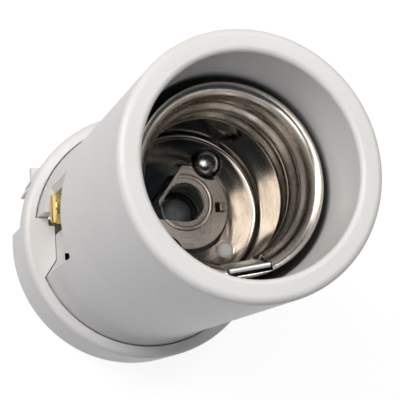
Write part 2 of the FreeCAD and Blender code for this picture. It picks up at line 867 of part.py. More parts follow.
def centre_contact():
    top, low = "contact_top_level", "contact_top_level - contact_skirt"
    shelf = "contact_top_level - contact_sheet"
    blank = contact_outline("contact_blank", "0", low, top)
    hollow = contact_outline("contact_hollow", "contact_skirt_wall", low + " - 1", shelf, "-1")
    bead = doc.addObject("Part::Torus", "contact_bead")
    bind(bead, Radius1="bead_radius", Radius2="bead_section")
    place(bead, "eye_x", "eye_y", "contact_top_level - bead_section / 2")
    cap = common("contact_bead_cap", bead, contact_outline(
        "contact_bead_limit", "contact_skirt_wall", shelf, "contact_top_level + bead_section",
    ))
    slots = [
        side_group(side + "_guide_slot", side, guide_slot_box(side + "_slot", low, top + " + 1"))
        for side in SIDES
    ]
    plate = cut(
        "centre_contact_cut", fused("contact_plate", cut("contact_cup", blank, hollow), cap),
        eye_cut(low + " - 1", top + " + 2"), *slots,
    )
    plate.Label = "centre_contact"


def guide_leg(name, turn):
    """One upright leg of the contact guide with its hook, turned about the axis."""
    level = "contact_top_level + hook_gap"
    half = "guide_leg_width / 2"
    leg = box(
        name + "_leg", ("guide_leg_outer - guide_leg_thickness", "guide_leg_outer"), ("-(%s)" % half, half),
        ("well_level", level + " + guide_leg_thickness"),
    )
    hook = box(
        name + "_hook", ("guide_leg_outer - 0.1", "guide_leg_outer + hook_length"), ("-(%s)" % half, half),
        (level, level + " + guide_leg_thickness"),
    )
    return turned(fused(name, leg, hook), AXIS_Z, turn)


def contact_guide():
    disc = cylinder("guide_disc", "guide_radius", "well_level", "well_level + guide_sheet")
    legs = [guide_leg("guide_a", 0), guide_leg("guide_b", HALF_TURN)]
    hole = cylinder("guide_hole", "screw_hole_radius", "well_level - 1", "well_level + guide_sheet + 1")
    guide = cut("contact_guide_cut", fused("guide_solid", disc, *legs), hole)
    guide.Label = "contact_guide"


def centre_spring():
    low = number("well_level + guide_sheet + spring_wire / 2")
    high = number("contact_top_level - contact_sheet - spring_wire / 2")
    radius, wire = number("spring_radius"), number("spring_wire") / 2
    helix = Part.makeHelix((high - low) / number("spring_turns"), high - low, radius)
    section = Part.Wire([Part.makeCircle(wire, FreeCAD.Vector(radius, 0, 0), AXIS_Y)])
    spring = doc.addObject("Part::Feature", "centre_spring_coil")
    spring.Shape = Part.Wire(helix).makePipeShell([section], True, True)
    spring.Placement = FreeCAD.Placement(FreeCAD.Vector(0, 0, low), FreeCAD.Rotation())
    spring.Label = "centre_spring"


def centre_fasteners():
    screw = pan_screw("centre_screw_made", "centre_screw_length")
    place(screw, "0", "0", "well_level + guide_sheet")
    screw.Label = "centre_screw"
    washer_low = "web_level - strip_sheet - washer_thickness"
    washer("centre_washer_made", washer_low).Label = "centre_washer"
    nut("centre_nut_made", washer_low + " - nut_thickness").Label = "centre_nut"


# Contact strips from the holder's middle out to the terminals

def contact_strip(name, label, side, eye_x, eye_y):
    """A strip that starts in an eye under the web and turns down behind a terminal."""
    low, high = "web_level - strip_sheet", "web_level"
    back = "(terminal_front - terminal_thickness)"
    edges = ("terminal_centre - strip_width / 2", "terminal_centre + strip_width / 2")
    disc = cylinder(name + "_disc", "strip_eye_radius", low, high, eye_x, eye_y)
    arm_x = number("-%s + strip_sheet + 1" % back) - number(eye_x)
    arm_y = number("terminal_centre") - number(eye_y)
    arm = box(name + "_arm", ("0", math.hypot(arm_x, arm_y)), ("0", "strip_width"), ("0", "strip_sheet"))
    turned(arm, AXIS_Z, math.degrees(math.atan2(arm_y, arm_x)))
    along_x, along_y = "(-%s + strip_sheet + 1 - (%s))" % (back, eye_x), "(terminal_centre - (%s))" % eye_y
    lean = "atan2(%s; %s)" % (along_y, along_x)
    bind(arm, Length="sqrt(%s^2 + %s^2)" % (along_x, along_y))
    place(
        arm, "(%s) + strip_width / 2 * sin(%s)" % (eye_x, lean),
        "(%s) - strip_width / 2 * cos(%s)" % (eye_y, lean), low,
    )
    shoulder = box(name + "_shoulder", ("-" + back, "-%s + strip_width" % back), edges, (low, high))
    leg = box(name + "_leg", ("-" + back, "-%s + strip_sheet" % back), edges, ("strip_low_level", high))
    eye_hole = cylinder(name + "_eye_hole", "screw_hole_radius", low + " - 1", high + " + 1", eye_x, eye_y)
    screw_hole = turned(doc.addObject("Part::Cylinder", name + "_screw_hole"), AXIS_Y, 90)
    bind(screw_hole, Radius="screw_hole_radius", Height="strip_sheet + 2")
    place(screw_hole, "-%s - 1" % back, "terminal_centre", "terminal_screw_level")
    strip = cut(name, fused(name + "_solid", disc, arm, shoulder, leg), eye_hole, screw_hole)
    turned(strip, AXIS_Z, SIDES[side])
    strip.Label = label


def contact_strips():
    contact_strip("centre_strip_cut", "centre_strip", "line", "0", "0")
    eye_x, eye_y = shell_rivet_place(1)
    contact_strip("shell_strip_cut", "shell_strip", "neutral", eye_x, eye_y)


# Terminals, drawn on the -X side with the screw's head outwards

def lying_cylinder(name, radius, outer, inner):
    """A cylinder along X about a terminal screw's axis, between two distances from the holder's axis."""
    item = turned(doc.addObject("Part::Cylinder", name), AXIS_Y, 90)
    bind(item, Radius=radius, Height="(%s) - (%s)" % (outer, inner))
    return place(item, "-(%s)" % outer, "terminal_centre", "terminal_screw_level")


def terminal(side):
    front, back = "terminal_front", "terminal_front - terminal_thickness"
    half = "terminal_width / 2"
    plate_block = box(
        side + "_plate_block", ("-(%s)" % front, "-(%s)" % back),
        ("terminal_centre - %s" % half, "terminal_centre + %s" % half),
        ("terminal_low_level", "terminal_high_level"),
    )
    tapped = lying_cylinder(
        side + "_tapped", "screw_radius + terminal_thread_gap", front + " + 1", back + " - 1",
    )
    plate = turned(cut(side + "_plate", plate_block, tapped), AXIS_Z, SIDES[side])
    plate.Label = side + "_terminal_plate"

    half_side = "clamp_side / 2"
    clamp_block = box(
        side + "_clamp_block", ("-(%s) - clamp_thickness" % front, "-(%s)" % front),
        ("terminal_centre - %s" % half_side, "terminal_centre + %s" % half_side),
        ("terminal_screw_level - %s" % half_side, "terminal_screw_level + %s" % half_side),
    )
    doc.recompute()
    clamp_round = doc.addObject("Part::Chamfer", side + "_clamp_corners")
    clamp_round.Base = clamp_block
    corner = number("clamp_corner")
    clamp_round.Edges = [
        (index, corner, corner) for index, edge in enumerate(clamp_block.Shape.Edges, start=1)
        if abs(edge.BoundBox.XLength - number("clamp_thickness")) < 1e-6
    ]
    clamp_hole = lying_cylinder(
        side + "_clamp_hole", "screw_hole_radius", front + " + clamp_thickness + 1", front + " - 1",
    )
    clamp = turned(cut(side + "_clamp", clamp_round, clamp_hole), AXIS_Z, SIDES[side])
    clamp.Label = side + "_clamp_plate"

    seat = "terminal_front + clamp_thickness"
    head = lying_cylinder(
        side + "_screw_head", "terminal_head_radius", seat + " + terminal_head_height", seat,
    )
    shank = lying_cylinder(
        side + "_screw_shank", "screw_radius", seat + " + 0.1", seat + " - terminal_screw_length",
    )
    face = "-(%s) - terminal_head_height" % seat
    slot = box(
        side + "_screw_slot", (face + " - 1", face + " + terminal_slot_depth"),
        ("terminal_centre - terminal_head_radius - 1", "terminal_centre + terminal_head_radius + 1"),
        ("terminal_screw_level - terminal_slot_width / 2", "terminal_screw_level + terminal_slot_width / 2"),
    )
    screw = cut(side + "_screw", fused(side + "_screw_solid", head, shank), slot)
    turned(screw, AXIS_Z, SIDES[side])
    screw.Label = side + "_terminal_screw"


# Lamp lock spring

def lock_strip_solid():
    """The bowed steel strip, drawn in the XZ plane, with its rolled top end."""
    half = number("lock_width") / 2
    foot = number("shell_wall_radius + sheet + lock_stand_off")
    gauge = number("lock_sheet")
    nose_reach, nose_level = number("lock_nose_reach"), number("lock_nose_level")
    top_reach, top_level = number("lock_top_reach"), number("lock_top_level")
    bend_level = number("lock_bend_level")
    points = [
        FreeCAD.Vector(foot, -half, number("lock_foot_level")),
        FreeCAD.Vector(foot, -half, bend_level),
        FreeCAD.Vector(nose_reach, -half, nose_level),
        FreeCAD.Vector(top_reach, -half, top_level),
    ]
    foot_line = Part.LineSegment(points[0], points[1])
    middle = FreeCAD.Vector(nose_reach + (foot - nose_reach) * 0.30, -half, (bend_level + nose_level) / 2)
    bow = Part.Arc(points[1], middle, points[2])
    upper = FreeCAD.Vector(nose_reach + (top_reach - nose_reach) * 0.28, -half, (nose_level + top_level) / 2)
    rise = Part.Arc(points[2], upper, points[3])
    path = Part.Wire([foot_line.toShape(), bow.toShape(), rise.toShape()])
    strip = path.makeOffset2D(-gauge, 0, True, True, False)
    solid = strip.extrude(FreeCAD.Vector(0, 2 * half, 0))
    if not solid.isValid() or solid.Volume <= 0:
        raise ValueError("the lamp lock strip did not close")
    roll = Part.makeCylinder(number("lock_roll_radius"), 2 * half, points[3], AXIS_Y)
    return solid.fuse(roll).removeSplitter()


def lamp_lock():
    rolled = doc.addObject("Part::Feature", "lock_strip")
    rolled.Shape = lock_strip_solid()
    foot = "shell_wall_radius + sheet + lock_stand_off"

    def along_x(name, radius, low, high):
        item = turned(doc.addObject("Part::Cylinder", name), AXIS_Y, 90)
        bind(item, Radius=radius, Height="(%s) - (%s)" % (high, low))
        return place(item, low, "0", "rivet_level")

    hole = along_x("lock_hole", "rivet_radius", foot + " - 1", foot + " + lock_sheet + 1")
    strip = turned(cut("lock_strip_cut", rolled, hole), AXIS_Z, number("lock_angle"))
    strip.Label = "lamp_lock_spring"
    inner = "shell_wall_radius - rivet_play"
    shank = along_x("rivet_shank", "rivet_radius", inner + " - 0.1", foot + " + lock_sheet + 0.1")
    inner_head = along_x("rivet_inner_head", "rivet_head_radius", inner + " - rivet_head_height", inner)
    outer_head = along_x(
        "rivet_outer_head", "rivet_head_radius", foot + " + lock_sheet",
        foot + " + lock_sheet + rivet_head_height",
    )
    rivet = fused("lock_rivet_solid", shank, inner_head, outer_head)
    turned(rivet, AXIS_Z, number("lock_angle"))
    rivet.Label = "lamp_lock_rivet"


porcelain_body()
porcelain_base()
screw_shell()
shell_fasteners()
body_fasteners()
centre_contact()
contact_guide()
centre_spring()
centre_fasteners()
contact_strips()
for side_name in SIDES:
    terminal(side_name)
lamp_lock()
doc.recompute()

# The nodes that the holder is made of

NODES = [
    "porcelain_body", "porcelain_base", "screw_shell", "shell_rivets", "shell_washers",
    "centre_contact", "centre_spring", "contact_guide", "centre_screw", "centre_washer", "centre_nut",
    "centre_strip", "shell_strip", "line_terminal_plate", "line_clamp_plate", "line_terminal_screw",
    "neutral_terminal_plate", "neutral_clamp_plate", "neutral_terminal_screw",
    "lamp_lock_spring", "lamp_lock_rivet", "body_screws", "body_washers", "body_nuts",
]

for item in doc.Objects:
    if "Invalid" in item.State or "Error" in item.State:
        raise RuntimeError("%s did not build: %s" % (item.Label, item.State))
parts = {node: doc.getObjectsByLabel(node)[0] for node in NODES}
for node, item in parts.items():
    shape = item.Shape
    if shape.isNull() or not shape.isValid() or not shape.Solids:
        raise RuntimeError("%s has no sound shape" % node)

os.makedirs("parts", exist_ok=True)
for node, item in parts.items():
    item.Shape.exportStep("parts/%s.step" % node)
    print("%-24s %2d solid  %9.1f mm3" % (node, len(item.Shape.Solids), item.Shape.Volume))
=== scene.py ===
import math

import bmesh
import bpy
from mathutils import Matrix, Vector


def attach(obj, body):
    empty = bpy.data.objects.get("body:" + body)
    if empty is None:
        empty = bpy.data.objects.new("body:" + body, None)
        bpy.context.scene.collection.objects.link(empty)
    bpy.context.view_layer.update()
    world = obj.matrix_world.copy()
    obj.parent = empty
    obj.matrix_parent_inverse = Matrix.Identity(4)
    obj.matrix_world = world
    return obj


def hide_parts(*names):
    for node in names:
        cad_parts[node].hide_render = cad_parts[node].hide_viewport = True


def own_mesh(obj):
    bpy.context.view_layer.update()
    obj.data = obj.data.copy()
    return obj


# Porcelain screw lamp holder: glazed body and base, rolled screw shell, sprung contact, terminals.
# Lengths are in metres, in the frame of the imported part.

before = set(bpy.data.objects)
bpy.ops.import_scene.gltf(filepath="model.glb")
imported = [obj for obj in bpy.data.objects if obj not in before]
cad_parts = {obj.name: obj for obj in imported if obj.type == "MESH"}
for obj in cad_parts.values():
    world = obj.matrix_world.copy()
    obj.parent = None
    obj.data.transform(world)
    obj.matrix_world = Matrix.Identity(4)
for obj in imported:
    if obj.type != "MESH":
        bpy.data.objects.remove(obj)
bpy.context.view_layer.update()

MM = 0.001

# Sizes that the finer pieces share with the part
SHELL_FLOOR = 51.5 * MM
RIVET_REACH, RIVET_ANGLE = 13.6 * MM, math.radians(61.0)
RIVET_TAIL_LEVEL = 36.2 * MM
HEAD_RADIUS, HEAD_HEIGHT, SHANK_RADIUS = 4.0 * MM, 2.8 * MM, 2.0 * MM
THREAD_PITCH, THREAD_DEPTH = 0.7 * MM, 0.32 * MM
COIL_RADIUS, COIL_WIRE, COIL_TURNS = 6.2 * MM, 0.5 * MM, 4.5
COIL_LOW, COIL_HIGH = 44.0 * MM, 53.6 * MM
GUIDE_TOP = 44.0 * MM
CENTRE_SCREW_LENGTH = 18.0 * MM
BODY_SCREW_REACH, BODY_SCREW_SEAT, BODY_SCREW_LENGTH = 23.5 * MM, 5.2 * MM, 24.0 * MM
TERMINAL_SEAT, TERMINAL_SIDE, TERMINAL_LEVEL = 25.9 * MM, 4.3 * MM, 30.5 * MM
TERMINAL_HEAD_RADIUS, TERMINAL_SCREW_LENGTH = 3.9 * MM, 8.0 * MM
BODY_RINGS, CENTRE_RINGS, TERMINAL_RINGS = 274, 206, 92
HEAD_LIP, RIVET_LIP = 0.9 * MM, 0.55 * MM

# Places on the body that bound the painted shade of its inside
CHAMBER_BOTTOM, WELL_BOTTOM, WELL_REACH = 48.0 * MM, 42.0 * MM, 10.5 * MM
PIP_REACH, PIP_BOTTOM = 22.0 * MM, 51.2 * MM

# Widths of the rounded edges
PORCELAIN_EDGE, SHELL_EDGE, STRIP_EDGE = 0.35 * MM, 0.1 * MM, 0.14 * MM
WASHER_EDGE, NUT_EDGE = 0.12 * MM, 0.3 * MM

# Angles in degrees past which faces meet in a crease
TURNED_CREASE, WOUND_CREASE = 38.0, 40.0


# Node helpers

def link(tree, source, target):
    tree.links.new(source, target)


def add_node(tree, kind, **settings):
    node = tree.nodes.new(kind)
    for key, value in settings.items():
        setattr(node, key, value)
    return node


def feed(tree, socket, value):
    """Connects an output, or writes a plain value."""
    if isinstance(value, bpy.types.NodeSocket):
        link(tree, value, socket)
    else:
        socket.default_value = value


def maths(tree, operation, *values, clamp=False):
    node = add_node(tree, "ShaderNodeMath", operation=operation, use_clamp=clamp)
    for index, value in enumerate(values):
        feed(tree, node.inputs[index], value)
    return node.outputs[0]


def vector_maths(tree, operation, *values):
    node = add_node(tree, "ShaderNodeVectorMath", operation=operation)
    for index, value in enumerate(values):
        feed(tree, node.inputs[index], value)
    return node.outputs[0]


def noise(tree, where, scale, detail=3.0, roughness=0.55, distortion=0.0):
    node = add_node(tree, "ShaderNodeTexNoise")
    feed(tree, node.inputs["Vector"], where)
    feed(tree, node.inputs["Scale"], scale)
    node.inputs["Detail"].default_value = detail
    node.inputs["Roughness"].default_value = roughness
    node.inputs["Distortion"].default_value = distortion
    return node.outputs["Fac"]


def stretched(tree, value, low, high, out_low=0.0, out_high=1.0):
    """A value's span from low to high, laid over another span and held at its ends."""
    node = add_node(tree, "ShaderNodeMapRange", clamp=True)
    for key, number in (
        ("Value", value), ("From Min", low), ("From Max", high), ("To Min", out_low), ("To Max", out_high),
    ):
        feed(tree, node.inputs[key], number)
    return node.outputs["Result"]


def blended(tree, share, first, second):
    """A colour between two others."""
    node = add_node(tree, "ShaderNodeMix", data_type="RGBA", clamp_factor=True)
    feed(tree, node.inputs[0], share)
    feed(tree, node.inputs[6], first)
    feed(tree, node.inputs[7], second)
    return node.outputs[2]


def axis_distance(tree, apart):
    """How far a point, split into X, Y and Z, lies from the holder's axis."""
    across = maths(tree, "MULTIPLY", apart.outputs["X"], apart.outputs["X"])
    along = maths(tree, "MULTIPLY", apart.outputs["Y"], apart.outputs["Y"])
    return maths(tree, "SQRT", maths(tree, "ADD", across, along))


def new_group(name, inputs, outputs, kind="ShaderNodeTree"):
    """An empty node group with its named sockets, and its two end nodes."""
    tree = bpy.data.node_groups.new(name, kind)
    for label, socket, default in inputs:
        made = tree.interface.new_socket(name=label, in_out="INPUT", socket_type=socket)
        if default is not None:
            made.default_value = default
    for label, socket in outputs:
        tree.interface.new_socket(name=label, in_out="OUTPUT", socket_type=socket)
    return tree, add_node(tree, "NodeGroupInput"), add_node(tree, "NodeGroupOutput")


# Finishes

def glaze_group():
    """Fired glaze: slow tone changes, warm clouds, iron specks and fine pits, and painted shade inside, below
    the shell's lip and in the contact well.
    """
    tree, given, made = new_group(
        "fired_glaze",
        [
            ("Tone", "NodeSocketColor", (0.8, 0.8, 0.8, 1)),
            ("Cloud Tone", "NodeSocketColor", (0.7, 0.7, 0.7, 1)),
            ("Speck Tone", "NodeSocketColor", (0.3, 0.25, 0.2, 1)),
            ("Cloud Scale", "NodeSocketFloat", 40.0),
            ("Speck Share", "NodeSocketFloat", 0.5),
            ("Gloss Low", "NodeSocketFloat", 0.3),
            ("Gloss High", "NodeSocketFloat", 0.45),
            ("Raw Tone", "NodeSocketColor", (0.2, 0.2, 0.2, 1)),
            ("Raw Reach", "NodeSocketFloat", 0.0),
            ("Raw Level", "NodeSocketFloat", 0.0),
        ],
        [("Colour", "NodeSocketColor"), ("Roughness", "NodeSocketFloat"), ("Height", "NodeSocketFloat")],
    )
    where = add_node(tree, "ShaderNodeTexCoord").outputs["Object"]
    clouds = noise(tree, where, given.outputs["Cloud Scale"], 4.0, 0.6)
    drift = noise(tree, where, 14.0, 2.0, 0.5)
    grain = noise(tree, where, 1400.0, 3.0, 0.6)
    cloud_share = stretched(tree, maths(tree, "ADD", clouds, maths(tree, "MULTIPLY", drift, 0.6)), 0.62, 1.1)
    tone = blended(tree, cloud_share, given.outputs["Tone"], given.outputs["Cloud Tone"])
    cells = add_node(tree, "ShaderNodeTexVoronoi", feature="F1")
    link(tree, where, cells.inputs["Vector"])
    cells.inputs["Scale"].default_value = 260.0
    split = add_node(tree, "ShaderNodeSeparateColor")
    link(tree, cells.outputs["Color"], split.inputs["Color"])
    rarity = maths(tree, "MULTIPLY", given.outputs["Speck Share"], 0.02)
    chosen = maths(tree, "LESS_THAN", split.outputs[0], rarity)
    spot = stretched(tree, cells.outputs["Distance"], 0.05, 0.11, 1.0, 0.0)
    speck = maths(tree, "MULTIPLY", chosen, spot)
    tone = blended(tree, maths(tree, "MULTIPLY", speck, 0.8), tone, given.outputs["Speck Tone"])
    apart = add_node(tree, "ShaderNodeSeparateXYZ")
    link(tree, where, apart.inputs[0])
    reach = axis_distance(tree, apart)
    # Painted shade: below the lip level, inside the bore gap and in the contact well (but not on the pip), the
    # glaze takes a dark tone and a rougher gloss.
    edge = maths(tree, "ADD", given.outputs["Raw Level"], maths(tree, "MULTIPLY", drift, 0.002))
    under = stretched(tree, maths(tree, "SUBTRACT", apart.outputs["Z"], edge), -0.003, 0.0, 1.0, 0.0)
    inner = maths(tree, "LESS_THAN", reach, given.outputs["Raw Reach"])
    near = maths(tree, "LESS_THAN", reach, PIP_REACH)
    raised = maths(tree, "GREATER_THAN", apart.outputs["Z"], PIP_BOTTOM)
    pip = maths(tree, "MULTIPLY", near, raised)
    well = maths(tree, "LESS_THAN", reach, WELL_REACH)
    chamber = maths(tree, "GREATER_THAN", apart.outputs["Z"], CHAMBER_BOTTOM)
    inside = maths(tree, "MAXIMUM", chamber, well)
    inside = maths(tree, "MULTIPLY", inside, maths(tree, "GREATER_THAN", apart.outputs["Z"], WELL_BOTTOM))
    painted_shade_inside = maths(tree, "MULTIPLY", maths(tree, "MULTIPLY", under, inside), inner)
    painted_shade_inside = maths(tree, "MULTIPLY", painted_shade_inside, maths(tree, "SUBTRACT", 1.0, pip))
    link(tree, blended(tree, painted_shade_inside, tone, given.outputs["Raw Tone"]), made.inputs["Colour"])
    gloss = stretched(tree, grain, 0.3, 0.7, given.outputs["Gloss Low"], given.outputs["Gloss High"])
    link(tree, maths(tree, "ADD", gloss, maths(tree, "MULTIPLY", painted_shade_inside, 0.35)), made.inputs["Roughness"])
    slow = noise(tree, where, 120.0, 2.0, 0.5)
    height = maths(tree, "ADD", maths(tree, "MULTIPLY", slow, 0.9), maths(tree, "MULTIPLY", grain, 0.35))
    height = maths(tree, "SUBTRACT", height, maths(tree, "MULTIPLY", speck, 0.6))
    link(tree, height, made.inputs["Height"])
    return tree


def drawn_metal_group():
    """Drawn metal: lines round the axis, cloudy tarnish, a dull rolled part and one patch of painted shade."""
    tree, given, made = new_group(
        "drawn_metal",
        [
            ("Tone", "NodeSocketColor", (0.6, 0.55, 0.48, 1)),
            ("Tarnish", "NodeSocketColor", (0.3, 0.26, 0.22, 1)),
            ("Tarnish Share", "NodeSocketFloat", 0.4),
            ("Tarnish Scale", "NodeSocketFloat", 160.0),
            ("Line Scale", "NodeSocketFloat", 900.0),
            ("Gloss Low", "NodeSocketFloat", 0.15),
            ("Gloss High", "NodeSocketFloat", 0.35),
            ("Rolled Level", "NodeSocketFloat", 1.0),
            ("Rolled Dullness", "NodeSocketFloat", 0.0),
            ("Patch Centre", "NodeSocketVector", (0.0, 0.0, 0.0)),
            ("Patch Reach", "NodeSocketFloat", 0.0001),
            ("Patch Tone", "NodeSocketColor", (0.1, 0.1, 0.1, 1)),
        ],
        [("Colour", "NodeSocketColor"), ("Roughness", "NodeSocketFloat"), ("Height", "NodeSocketFloat")],
    )
    where = add_node(tree, "ShaderNodeTexCoord").outputs["Object"]
    apart = add_node(tree, "ShaderNodeSeparateXYZ")
    link(tree, where, apart.inputs[0])
    reach = axis_distance(tree, apart)
    turn = maths(tree, "ARCTAN2", apart.outputs["Y"], apart.outputs["X"])
    joined = add_node(tree, "ShaderNodeCombineXYZ")
    link(tree, reach, joined.inputs["X"])
    link(tree, maths(tree, "MULTIPLY", turn, 0.0004), joined.inputs["Y"])
    link(tree, apart.outputs["Z"], joined.inputs["Z"])
    lines = noise(tree, joined.outputs[0], given.outputs["Line Scale"], 2.0, 0.5)
    clouds = noise(tree, where, given.outputs["Tarnish Scale"], 5.0, 0.62, 0.4)
    share = stretched(tree, clouds, 0.42, 0.72)
    share = maths(tree, "MULTIPLY", share, given.outputs["Tarnish Share"])
    streaks = maths(tree, "MULTIPLY", stretched(tree, lines, 0.5, 0.75), 0.25)
    share = maths(tree, "ADD", share, streaks, clamp=True)
    tone = blended(tree, share, given.outputs["Tone"], given.outputs["Tarnish"])
    # Painted shade: a dark patch round a given centre, with cloudy edges, stands in for shade and dark
    # reflection.
    away = add_node(tree, "ShaderNodeVectorMath", operation="DISTANCE")
    link(tree, where, away.inputs[0])
    link(tree, given.outputs["Patch Centre"], away.inputs[1])
    away = maths(tree, "DIVIDE", away.outputs["Value"], given.outputs["Patch Reach"])
    away = maths(tree, "ADD", away, maths(tree, "MULTIPLY", clouds, 0.3))
    painted_shade_patch = stretched(tree, away, 0.8, 1.3, 1.0, 0.0)
    link(tree, blended(tree, painted_shade_patch, tone, given.outputs["Patch Tone"]), made.inputs["Colour"])
    gloss = maths(tree, "ADD", maths(tree, "MULTIPLY", share, 0.6), maths(tree, "MULTIPLY", lines, 0.4))
    gloss = stretched(tree, gloss, 0.1, 0.7, given.outputs["Gloss Low"], given.outputs["Gloss High"])
    above = maths(tree, "SUBTRACT", apart.outputs["Z"], given.outputs["Rolled Level"])
    rolled = maths(tree, "MULTIPLY", stretched(tree, above, 0.0, 0.0015), given.outputs["Rolled Dullness"])
    link(tree, maths(tree, "ADD", gloss, rolled), made.inputs["Roughness"])
    height = maths(tree, "ADD", maths(tree, "MULTIPLY", lines, 0.5), maths(tree, "MULTIPLY", clouds, 1.0))
    link(tree, height, made.inputs["Height"])
    return tree


GLAZE = glaze_group()
DRAWN = drawn_metal_group()


def finish_material(name, group, values, metallic, bump, **shader_values):
    """A material whose colour, gloss and bump come from one shared group."""
    material = bpy.data.materials.new(name)
    material.use_nodes = True
    tree = material.node_tree
    shader = tree.nodes["Principled BSDF"]
    effect = add_node(tree, "ShaderNodeGroup", node_tree=group)
    for key, value in values.items():
        effect.inputs[key].default_value = value
    link(tree, effect.outputs["Colour"], shader.inputs["Base Color"])
    link(tree, effect.outputs["Roughness"], shader.inputs["Roughness"])
    relief = add_node(tree, "ShaderNodeBump")
    relief.inputs["Strength"].default_value = bump[0]
    relief.inputs["Distance"].default_value = bump[1]
    link(tree, effect.outputs["Height"], relief.inputs["Height"])
    link(tree, relief.outputs["Normal"], shader.inputs["Normal"])
    shader.inputs["Metallic"].default_value = metallic
    for key, value in shader_values.items():
        shader.inputs[key.replace("_", " ")].default_value = value
    return material


porcelain = finish_material(
    "glazed_porcelain_finish", GLAZE,
    {
        "Tone": (0.80, 0.788, 0.785, 1), "Cloud Tone": (0.755, 0.74, 0.74, 1),
        "Speck Tone": (0.36, 0.31, 0.27, 1), "Cloud Scale": 42.0, "Speck Share": 0.5,
        "Gloss Low": 0.38, "Gloss High": 0.50,
        # tone of the painted shade in the bore gap and the contact well, with its reach and level
        "Raw Tone": (0.14, 0.155, 0.16, 1), "Raw Reach": 25.6 * MM, "Raw Level": 84.5 * MM,
    },
    0.0, (0.25, 0.00008), Coat_Weight=0.25, Coat_Roughness=0.28,
)
def metal_finish(name, tone, tarnish, share, scale, gloss, metallic, bump, **more):
    """A drawn metal from its tone, its tarnish, how much of it there is, and its lowest and highest gloss."""
    values = {
        "Tone": (*tone, 1), "Tarnish": (*tarnish, 1), "Tarnish Share": share, "Tarnish Scale": scale,
        "Line Scale": 1200.0, "Gloss Low": gloss[0], "Gloss High": gloss[1],
    }
    values.update({key.replace("_", " "): value for key, value in more.items()})
    return finish_material(name, DRAWN, values, metallic, bump)


nickel = metal_finish(
    "nickel_plate_finish", (0.61, 0.56, 0.505), (0.27, 0.235, 0.21), 0.5, 150.0, (0.08, 0.20),
    1.0, (0.06, 0.00003), Line_Scale=1100.0, Rolled_Level=67.5 * MM, Rolled_Dullness=0.13,
    # a patch of painted shade and dark reflection on the upper left of the shell's floor
    Patch_Centre=(-0.009, 0.012, 0.054), Patch_Reach=0.0165, Patch_Tone=(0.17, 0.165, 0.16, 1),
)
satin_nickel = metal_finish(
    "satin_nickel_finish", (0.63, 0.565, 0.51), (0.26, 0.225, 0.20), 0.55, 190.0, (0.24, 0.42),
    1.0, (0.1, 0.00003),
)
# Nickel with its tone painted dark: a painted dark reflection for the domed rivet heads.
nickel_painted_dark = metal_finish(
    "nickel_painted_dark_finish", (0.30, 0.31, 0.315), (0.15, 0.15, 0.15), 0.4, 300.0, (0.14, 0.24),
    1.0, (0.1, 0.00003),
)
# Steel with its tone painted dark: the steel's own greyer tone, darkened further as painted shade for the coil
# and the screw in the contact well.
dark_steel = metal_finish(
    "steel_painted_shade_finish", (0.20, 0.225, 0.235), (0.10, 0.10, 0.10), 0.6, 300.0, (0.5, 0.7),
    0.6, (0.2, 0.00004),
)
zinc = metal_finish(
    "zinc_steel_finish", (0.58, 0.59, 0.60), (0.36, 0.36, 0.35), 0.5, 420.0, (0.25, 0.45),
    1.0, (0.2, 0.00004),
)
spring_steel = metal_finish(
    "spring_steel_finish", (0.90, 0.92, 0.94), (0.66, 0.67, 0.67), 0.3, 260.0, (0.30, 0.45),
    1.0, (0.15, 0.00004),
)
brass = metal_finish(
    "brass_finish", (0.80, 0.60, 0.20), (0.36, 0.22, 0.09), 0.5, 260.0, (0.18, 0.36),
    1.0, (0.2, 0.00004),
)


# Mesh helpers

def new_object(name, mesh):
    made = bpy.data.objects.new(name, mesh)
    bpy.context.scene.collection.objects.link(made)
    return made


def hardened(made, name):
    """The object's evaluated mesh as its only mesh, with its modifiers gone."""
    graph = bpy.context.evaluated_depsgraph_get()
    mesh = bpy.data.meshes.new_from_object(made.evaluated_get(graph))
    mesh.name = name
    made.modifiers.clear()
    old = made.data
    made.data = mesh
    bpy.data.meshes.remove(old)
    return mesh


def cleaned(mesh, merge=1e-6, flat=0.0):
    """Merges doubled points, joins flat faces and turns every normal outwards."""
    work = bmesh.new()
    work.from_mesh(mesh)
    bmesh.ops.remove_doubles(work, verts=work.verts, dist=merge)
    if flat:
        bmesh.ops.dissolve_limit(work, angle_limit=math.radians(flat), verts=work.verts, edges=work.edges)
    bmesh.ops.recalc_face_normals(work, faces=work.faces)
    work.to_mesh(mesh)
    work.free()


def smoothed(mesh, angle):
    """Smooth shading with a crease where faces meet more sharply than the angle."""
    mesh.shade_smooth()
    mesh.set_sharp_from_angle(angle=math.radians(angle))


def settled(made, body, material, replaced=()):
    """Puts a finished piece on its body with its material, in the place of the plain solids."""
    made.data.materials.clear()
    made.data.materials.append(material)
    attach(made, body)
    if replaced:
        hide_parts(*replaced)
    return made


def rounded_copy(node, name, body, material, edge, segments=2, angle=35.0, flat=0.3, crease=40.0):
    """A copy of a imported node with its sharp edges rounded, and its flats joined first unless flat is 0."""
    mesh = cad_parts[node].data.copy()
    mesh.materials.clear()
    if "custom_normal" in mesh.attributes:
        mesh.attributes.remove(mesh.attributes["custom_normal"])
    made = new_object(name, mesh)
    cleaned(mesh, flat=flat)
    rounding = made.modifiers.new("rounding", "BEVEL")
    rounding.width = edge
    rounding.segments = segments
    rounding.limit_method = "ANGLE"
    rounding.angle_limit = math.radians(angle)
    rounding.use_clamp_overlap = True
    mesh = hardened(made, name)
    cleaned(mesh, merge=2e-7)
    smoothed(mesh, crease)
    weighting = made.modifiers.new("weighting", "WEIGHTED_NORMAL")
    weighting.keep_sharp = True
    hardened(made, name)
    return settled(made, body, material, (node,))


